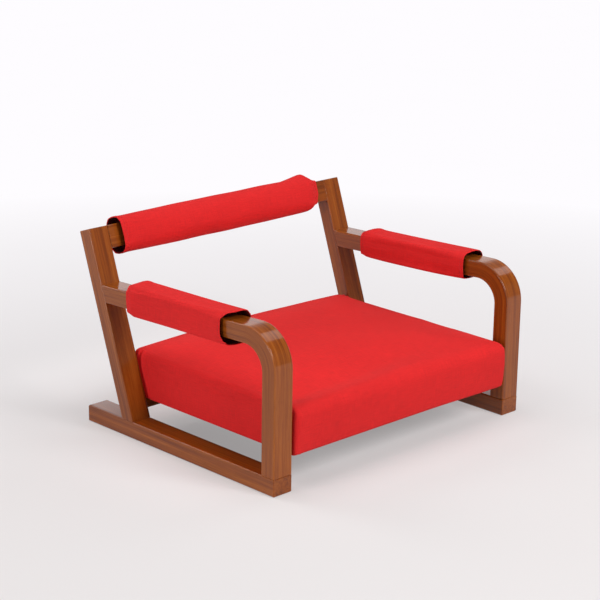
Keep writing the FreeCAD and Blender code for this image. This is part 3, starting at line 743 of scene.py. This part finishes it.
def settle(seat):
    """Gives the cover its small waves, the shallow dip across its top and its uneven lower edge."""
    points = numbers(seat) * 1000
    x, y, z = points[:, 0], points[:, 1] - FRONT * 1000, points[:, 2]
    top = fade(z, 120, 138) * fade(np.abs(x), 240, 180)
    wave = np.sin(x / 37 + y / 61) + np.sin(x / 23 - y / 29 + 1.3) + np.sin(y / 19 + x / 71 + 0.6)
    z += 0.2 * wave * top
    dip = 9.5
    behind = y - np.interp(x, (-230, -80, 60, 140), (2, 2, 14, 20))
    valley = fade(behind, 0, 44) * np.exp(-(np.maximum(behind - 44, 0) / 62) ** 2)
    z -= dip * valley * fade(x, 150, -40) * fade(x, -262, -222) * fade(z, 125, 137)
    low_edge = np.exp(-((z - 62) / 5) ** 2)
    z += 0.5 * low_edge * (np.sin(x / 31 + 0.4) + np.sin(y / 27 + 1.1)) * fade(z, 59, 62)
    sheet_low, sheet_high = (np.array(tuple(corner)) * 1000 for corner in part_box("dust_cloth"))
    past_sheet = np.maximum(np.abs(x) - sheet_high[0], sheet_low[1] - FRONT * 1000 - y)
    z -= 2.0 * fade(x, 60, 230) * fade(z, 90, 60) * fade(past_sheet, 1, 9)
    move(seat, points / 1000)


def seat_creases(seat):
    """Pleats at the rear corners, faint pulls along the sides and folds under the corners."""
    for sign in (-1, 1):
        wall, down = (sign, 0, 0), (0, 0, -1)
        for line, depth, width, ridge, taper in (
                (((386, 150), (381, 118), (374.5, 99.5), (365.7, 78), (359, 57)), 4.6, 2.4, 0.5, 0.1),
                (((368, 132), (366, 112), (359, 92)), 1.2, 2.6, 0.35, 0.25),
                (((240, 124), (213, 126.7), (164, 134.4), (104, 140)), 1.5, 3.6, 0.35, 0.25),
                (((200, 115), (188, 117.5), (127, 123.4)), 1.3, 3.0, 0.35, 0.25),
                (((352, 116), (300, 110), (262, 113)), 1.1, 4.5, 0.35, 0.25)):
            crease(seat, [(0, y, z) for y, z in line], depth, width, wall, ridge, taper)
        for y, inward in ((-4, 1), (362, -1)):
            line = (sign * 253, y + 2 * inward, 0), (sign * 222, y + 32 * inward, 0)
            crease(seat, line, 1.3, 2.4, down, 0.5, 0.3)


seat = seat_cushion()
settle(seat)
seat_creases(seat)


# Sleeves

# The stretch of bar under a sleeve: its middle line, two directions across it, and its faces along those
Bar = namedtuple("Bar", "origin along length across outward half low high")

# Padding beside, under and over the bar, and the rounding of the lower and upper edges
Pad = namedtuple("Pad", "side under over low_round high_round")

# How far in the foam starts at each end, where the far end's gathers start, and how tight they are
Ends = namedtuple("Ends", "near far gather_start tight_below tight_above")

ARC_POINTS, FLAT_POINTS = 8, 14
SECTION_POINTS = 4 * (ARC_POINTS + FLAT_POINTS)

# A hem's share of the way in, and how far from a sleeve's ends its seam and its stitches lie
HEM, HEM_SEAM, HEM_STITCHES = 0.2, 10, 7.5


def section(half, low, high, low_round, high_round, swell):
    """Points round the bar, starting in the middle of its underside."""
    arcs = ((1, -1, 270, low_round), (1, 1, 0, high_round), (-1, 1, 90, high_round), (-1, -1, 180, low_round))
    centres = [np.array((sx * (half - r), high - r if sy > 0 else low + r)) for sx, sy, _, r in arcs]
    found = []
    for n, (_, _, start, r) in enumerate(arcs):
        for k in range(ARC_POINTS):
            turn = math.radians(start + 90 * k / ARC_POINTS)
            found.append(centres[n] + r * pointing(turn))
        out = pointing(math.radians(start + 90))
        after = (n + 1) % 4
        first, last = centres[n] + r * out, centres[after] + arcs[after][3] * out
        for k in range(FLAT_POINTS):
            bulge = swell * math.sin(math.pi * k / FLAT_POINTS)
            found.append(first + (last - first) * k / FLAT_POINTS + out * bulge)
    return np.roll(np.array(found), FLAT_POINTS // 2, axis=0)


def sleeve_line(length, near, far):
    """Rings as (place along the bar, share of the way in): outer cloth, far hem, inner cloth and near hem."""
    rim, pitch, spacing = 16, 1.6, 5.2
    steps = int((length - 2 * rim) / spacing)
    line = [(pitch * k, 0.0) for k in range(1, 10)]
    line += [(rim + (length - 2 * rim) * k / steps, 0.0) for k in range(steps + 1)]
    line += [(length - pitch * k, 0.0) for k in range(9, 0, -1)]
    line += [(length - 0.2, 0.02), (length, HEM / 2), (length - 0.4, HEM), (length - 5, HEM)]
    line += [(length - far + 1, HEM), (length - far, 0.45), (length - far, 0.85), (length - far, 1.0)]
    line += [(length - far - (length - near - far) * k / 12, 1.0) for k in range(1, 12)]
    line += [(near, 1.0), (near, 0.85), (near, 0.45), (near - 1, HEM)]
    return line + [(5, HEM), (0.4, HEM), (0, HEM / 2), (0.2, 0.02)]


def sleeve_cloth(name, nodes, bar, pad, ends):
    """The sleeve as one closed form, blown up by its foam."""
    outer = section(bar.half + pad.side - SIM_SPARE, bar.low - pad.under + SIM_SPARE,
                    bar.high + pad.over - SIM_SPARE, pad.low_round, pad.high_round, 1.0)
    gap, inner_round = 0.9, 2.6
    inner = section(bar.half + gap, bar.low - gap, bar.high + gap, inner_round, inner_round, 0.0)
    line = sleeve_line(bar.length, ends.near, ends.far)
    around = np.diff(np.vstack([outer, outer[:1]]), axis=0)
    girth = np.concatenate([[0], np.cumsum(np.linalg.norm(around, axis=1))])
    tight = ends.tight_below + (ends.tight_above - ends.tight_below) * fade(outer[:, 1], -12, 12)
    points, free, faces, marks, inside = [], [], [], [], []
    for s, k in line:
        drawn = tight * fade(s, ends.gather_start, bar.length)
        for (a, b), (c, d), share in zip(outer, inner, drawn + (1 - drawn) * k):
            point = bar.origin + bar.across * (a + (c - a) * share)
            points.append(point + bar.outward * (b + (d - b) * share) + bar.along * s)
        freest = 0.0 if k > 0.05 else min(1.0, 0.25 + min(s, bar.length - s) / 30)
        free += list((1 - drawn) * freest)
    for r, (here, k) in enumerate(line):
        q = (r + 1) % len(line)
        there, next_k = line[q]
        for i, face in enumerate(band(r * SECTION_POINTS, q * SECTION_POINTS, SECTION_POINTS)):
            faces.append(face)
            first, last = girth[i], girth[i + 1]
            marks += [(first, here, 0), (last, here, 0), (last, there, 0), (first, there, 0)]
            inside.append(min(k, next_k) >= HEM - 0.01)
    thing = piece(name, [at(p) for p in points], faces, [red, inside_cloth_painted_shade], nodes,
                  cloths=np.array(marks) / 1000)
    # Faces past the hems take the second material, the inner cloth darkened with painted shade
    thing.data.polygons.foreach_set("material_index", np.array(inside, dtype=np.int32))
    puff(thing, np.array(free), SLEEVE_SWELL, pressure=3.0)
    finer(thing)
    return thing


def sleeve_relief(s, a, b, bar, ends):
    """How far each point is pressed in by the hem seams, the seam underneath, the gathers and the slack."""
    press = np.zeros(len(s))
    for rim in (HEM_SEAM, bar.length - HEM_SEAM):
        press += 0.55 * groove((s - rim) / 1.7, 0.3)
    press += 0.5 * groove(a / 2.0, 0.3) * (b < bar.low - 3)
    turn = np.arctan2(b, a)
    folds = np.sin(19 * turn + 1.1 * np.sin(3 * turn) + s / 21) + 0.6 * np.sin(31 * turn - s / 17)
    press -= 0.42 * folds * ease((s - ends.gather_start + 8) / 24) * max(ends.tight_below, ends.tight_above)
    slack = np.sin(s / 17 + 2 * turn) + np.sin(s / 29 - 3 * turn + 1.7)
    press -= 0.22 * slack * np.sin(np.pi * np.clip(s / bar.length, 0, 1))
    return press


def shape_sleeve(thing, bar, pad, ends, shape):
    """Moves the blown sleeve's outer cloth by its own shape function, then presses its seams and folds in."""
    points, out = numbers(thing), normals(thing)
    axes = np.array([tuple(v) for v in (bar.along, bar.across, bar.outward)])
    s, a, b = ((points - np.array(tuple(at(bar.origin)))) * 1000 @ axes.T).T
    beyond = np.maximum((b - bar.high) / pad.over, (bar.low - b) / pad.under)
    proud = np.maximum((np.abs(a) - bar.half) / pad.side, beyond)
    ds, da, db = shape(s, a, b)
    drawn = (ends.tight_below + ends.tight_above) / 2 * fade(s, ends.gather_start, bar.length)
    share = np.clip((proud - 0.4 * (1 - drawn)) / 0.35, 0, 1)
    radial = np.column_stack([a, b]) / np.maximum(np.hypot(a, b), 1e-6)[:, None]
    outside = ((out @ axes[1]) * radial[:, 0] + (out @ axes[2]) * radial[:, 1] > 0) * share
    press = sleeve_relief(s, a, b, bar, ends)
    shift = np.outer(ds, axes[0]) + np.outer(da * share, axes[1]) + np.outer(db * share, axes[2])
    move(thing, points + (shift - out * (press * outside)[:, None]) / 1000)


def hem_stitches(name, thing, bar, shape, place):
    """Stitches round a sleeve, found by rays from outside towards the bar."""
    rays, count, reach = [], 72, 90
    for k in range(count):
        turn = 2 * math.pi * k / count
        way = (bar.across * math.cos(turn) + bar.outward * math.sin(turn)).normalized()
        a, b = way.dot(bar.across) * bar.half, way.dot(bar.outward) * bar.high
        shift = float(shape(np.array([place]), np.array([a]), np.array([b]))[0][0])
        rays.append((bar.origin + bar.along * (place + shift) + way * reach, -way))
    sewn(name, thing, rays)


def sleeve(name, nodes, bar, pad, ends, shape):
    """A padded sleeve round a bar: outer cloth, turned hems, foam ends, inner cloth and its stitches."""
    thing = sleeve_cloth(name + "_padded", nodes, bar, pad, ends)
    shape_sleeve(thing, bar, pad, ends, shape)
    for place, tag in ((HEM_STITCHES, "open"), (bar.length - HEM_STITCHES, "gathered")):
        hem_stitches(f"{name}_{tag}_hem_stitches", thing, bar, shape, place)


def near_arm_shape(s, a, b):
    """The near sleeve's front rim slants back round its outer side; it hangs lower in front."""
    slant = 16 * fade(a, -2, -26) * (1 - 0.75 * fade(b, -8, -24)) * (1 - 0.35 * fade(b, 14, 26))
    corner = 2.2 * np.exp(-((s - 243) / 10) ** 2) * fade(b, 10, 22) * fade(a, -4, 16)
    sag = (2.0 * fade(s, 0, ARM_SLEEVE_LENGTH) - 3.0) * fade(b, 0, -20)
    rise = (1.5 + 3.0 * fade(s, 30, 200)) * fade(b, 0, 20)
    shift = slant * ease(1 - s / 70) + 3.0 * fade(s, 170, ARM_SLEEVE_LENGTH)
    return shift, 0 * a, corner + sag + rise


def far_arm_shape(s, a, b):
    """The far sleeve sits a little further forward and its underside bellies between drawn-in ends."""
    corner = 2.0 * np.exp(-((s - 240) / 10) ** 2) * fade(b, 10, 22)
    belly = (3.0 * np.abs(2 * s / ARM_SLEEVE_LENGTH - 1) ** 2.2 - 1.2) * fade(b, 0, -20)
    return -6 * ease(1 - s / 120), 0 * a, corner + belly


def back_shape(s, a, b):
    """s runs from the right end, a up the back and b out of its front; a fold stands up near the left end."""
    fold_start, fold_top, end = 400, 449, BACK_SLEEVE_LENGTH
    side = np.where(s < fold_top, (s - fold_start) / (fold_top - fold_start), (end - s) / (end - fold_top))
    fold = 7.5 * np.clip(side, 0, 1) ** 1.15 * fade(a, 6, 26) * ease((14 - b) / 16 + 0.5)
    flare = np.exp(-(s / 14) ** 2)
    slant = 2.5 - 6.0 * fade(b, -24, 16)
    shift = slant * ease(1 - s / 60) - 7 * fade(a, 0, -22) * fade(s, 440, end)
    return shift, fold + a * 0.03 * flare, b * 0.03 * flare


for side, sign, shape in (("left", 1, far_arm_shape), ("right", -1, near_arm_shape)):
    start = arm_line(ARM_SLEEVE_FRONT) + ACROSS * sign * (INNER + OUTER) / 2
    sleeve(f"{side}_arm_sleeve", [f"{side}_arm_sleeve", f"{side}_arm_pad"],
           Bar(start, ALONG_ARM, ARM_SLEEVE_LENGTH, ACROSS, OVER_ARM, TIMBER_HALF, -ARM_HALF, ARM_HALF),
           Pad(8, 9.5, 12, 8, 15), Ends(20, 8, 232, 0.42, 0.3), shape)
start = RAIL_MIDDLE - ACROSS * (INNER - BACK_SLEEVE_GAP)
sleeve("back_sleeve", ["back_sleeve", "back_pad"],
       Bar(start, ACROSS, BACK_SLEEVE_LENGTH, UP_BACK, OUT_OF_BACK, TIMBER_HALF, -UPRIGHT_HALF, UPRIGHT_HALF),
       Pad(12, 12, 12, 15, 15), Ends(26, 8, 448, 0.45, 0.85), back_shape)


# Underside

def dust_cloth():
    """The thin cloth that closes the seat's underside, pulled flat."""
    lo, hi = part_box("dust_cloth")
    nx, ny, slack, spare = 48, 34, 0.0009, 0.0002
    points, faces = [], []
    for level in (lo.z, hi.z - spare):
        for j in range(ny + 1):
            for i in range(nx + 1):
                u, v = i / nx, j / ny
                sag = slack * (1 - abs(2 * u - 1) ** 4) * (1 - abs(2 * v - 1) ** 4)
                points.append((lo.x + (hi.x - lo.x) * u, lo.y + (hi.y - lo.y) * v, level - sag))
    row = nx + 1
    upper = row * (ny + 1)
    for j in range(ny):
        for i in range(nx):
            a = j * row + i
            b = upper + a
            faces += [(a, a + row, a + row + 1, a + 1), (b, b + 1, b + row + 1, b + row)]
    rim = list(range(nx)) + [nx + j * row for j in range(ny)]
    rim += [ny * row + nx - i for i in range(nx)] + [(ny - j) * row for j in range(ny)]
    for a, b in zip(rim, rim[1:] + rim[:1]):
        faces.append((a, b, upper + b, upper + a))
    black = cloth("black_dust_cloth", rgb(34, 33, 34), pitch=0.9, depth=0.3, sheen=0.1)
    thing = piece("dust_cloth_sheet", points, faces, [black], ["dust_cloth"],
                  cloths=[points[i] for f in faces for i in f])


def staples():
    """Wire staples that hold the dust cloth, 9 mm across, one every 36 mm or so."""
    lo, hi = (np.array(tuple(c)) * 1000 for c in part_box("dust_cloth"))
    edge, sides = 7, 8
    start_x, count_x = 14, 14
    start_y, count_y = 26, 9
    spots = []
    for y in (lo[1] + edge, hi[1] - edge):
        spots += [(x, y, 0) for x in np.linspace(lo[0] + start_x, hi[0] - start_x, count_x)]
    for x in (lo[0] + edge, hi[0] - edge):
        spots += [(x, y, 1) for y in np.linspace(lo[1] + start_y, hi[1] - start_y, count_y)]
    half = [(-4.5, 1.6), (-4.5, 0.1), (-4.2, -0.32), (-3.6, -0.5)]
    path = half + [(-d, z) for d, z in half[::-1]]
    points, faces = [], []
    chance = np.random.RandomState(7)
    for x, y, upright in spots:
        turn = math.radians(90 * upright + chance.uniform(-9, 9))
        u = pointing(turn)
        v = np.array((-u[1], u[0]))
        x, y = x + chance.uniform(-2, 2), y + chance.uniform(-1.2, 1.2)
        first = len(points)
        for d, z in path:
            leg = abs(d) > 4.4
            for k in range(sides):
                angle = 2 * math.pi * (k + 0.5) / sides
                w, h = 0.62 * math.cos(angle), 0.34 * math.sin(angle)
                along = d + (h if leg else 0) * (1 if d > 0 else -1)
                place = u * along + v * w
                height = lo[2] + z - (0 if leg else h)
                points.append(((x + place[0]) / 1000, (y + place[1]) / 1000, height / 1000))
        faces += rod(first, first + sides * (len(path) - 1), sides)
    piece("dust_cloth_staples", points, faces, [CARRIED_OVER["zinc_steel"]])


dust_cloth()
staples()

for thing in frame["nodes"].values():
    if isinstance(thing, bpy.types.Object) and thing.type == "MESH":
        for held in thing.material_slots:
            finish = held.material.name.split(".")[0] if held.material else None
            if finish in CARRIED_OVER:
                held.material = CARRIED_OVER[finish]


# Camera, floor and light

def camera():
    turn, tilt, roll = (math.radians(d) for d in (-44.4346, 16.8022, 0.8788))
    place = (-2.2118, -2.2489, 1.1642)
    back = Vector((math.sin(turn) * math.cos(tilt), -math.cos(turn) * math.cos(tilt), math.sin(tilt)))
    level = Vector((math.cos(turn), math.sin(turn), 0))
    rise = back.cross(level)
    right = level * math.cos(roll) + rise * math.sin(roll)
    up = rise * math.cos(roll) - level * math.sin(roll)
    data = bpy.data.cameras.new("camera")
    data.lens = 113.2
    thing = bpy.data.objects.new("camera", data)
    scene.collection.objects.link(thing)
    thing.matrix_world = Matrix.Translation(place) @ Matrix((right, up, back)).transposed().to_4x4()
    scene.camera = thing


def lamp(name, place, aim_height, size, power):
    """A round soft lamp, in metres and watts, aimed at a height over the floor's middle."""
    data = bpy.data.lights.new(name, "AREA")
    data.shape, data.size, data.energy = "DISK", size, power
    thing = bpy.data.objects.new(name, data)
    scene.collection.objects.link(thing)
    thing.location = place
    thing.rotation_euler = (Vector((0, 0, aim_height)) - Vector(place)).to_track_quat("-Z", "Y").to_euler()


def floor():
    """A pale floor that fades to white far off, with part of its shading, as under a very wide soft light."""
    p = Nodes("pale_floor")
    seen = p.seen()
    v = p.add("TexCoord", out=3)
    far = p.add("VectorMath", {0: v, 1: (-0.35, -0.35, 0.0)}, out=1, operation="DISTANCE")
    away = p.add("MapRange", {0: far, 1: 0.5, 2: 2.2, 3: 0.0, 4: 1.0})
    mottle = p.maths("MULTIPLY_ADD", p.speckle(v, scale=3.0, detail=2), 0.06, p.maths("SUBTRACT", away, 0.03))
    colour = p.ramp(mottle, (0.0, rgb(235, 231, 231)), (1.0, rgb(254, 252, 255)))
    to_other_light = (0.70, 0.69, 0.69, 1)
    lit = p.add("BsdfDiffuse", {"Color": p.mix(seen, to_other_light, colour)})
    glow = p.add("Emission", {"Color": colour})
    share = p.maths("MULTIPLY", seen, p.maths("MULTIPLY_ADD", away, 0.62, 0.38))
    p.add("OutputMaterial", {"Surface": p.add("MixShader", {0: share, 1: lit, 2: glow})})
    mesh = bpy.data.meshes.new("floor")
    radius, height, count = 14.0, -0.0003, 64
    turns = [2 * math.pi * k / count for k in range(count)]
    rim = [(radius * math.cos(turn), radius * math.sin(turn), height) for turn in turns]
    mesh.from_pydata(rim, [], [list(range(count))])
    mesh.materials.append(p.owner)
    thing = bpy.data.objects.new("floor", mesh)
    scene.collection.objects.link(thing)


def world():
    """A studio: white walls near the horizon, greyer overhead and to the camera's right, which is unlit."""
    p = Nodes("studio", "worlds")
    scene.world = p.owner

    def greys(value, *stops):
        return p.ramp(value, *((place, (grey, grey, grey * 1.01, 1)) for place, grey in stops))

    way = p.add("TexCoord")
    height = p.add("SeparateXYZ", {0: way}, out=2)
    to_right = p.add("VectorMath", {0: way, 1: (0.7, -0.7, 0.0)}, out=1, operation="DOT_PRODUCT")
    walls = greys(height, (0.34, 0.99), (0.5, 0.34))
    unlit = greys(to_right, (0.0, 1.0), (0.6, 0.3))
    backdrop = p.add("VectorMath", {0: walls, 1: unlit}, operation="MULTIPLY")
    ambient = greys(height, (0.0, 0.25), (0.45, 0.05))
    light = p.mix(p.seen(), ambient, backdrop)
    p.add("OutputWorld", {"Surface": p.add("Background", {"Color": light})})


camera()
floor()
world()

# Lamps, left and right as seen from the chair's front
lamp("front", (0.3, -2.9, 2.4), 0.15, 1.8, 87)
lamp("top", (-0.5, 0.3, 3.0), 0.15, 2.2, 31)
lamp("left", (-3.2, 0.1, 0.62), 0.15, 1.15, 29)
lamp("back", (-1.2, 3.0, 2.6), 0.15, 1.8, 32)
lamp("right", (2.15, -0.3, 2.6), 0.2, 1.5, 11)
scene.view_settings.view_transform = "Standard"
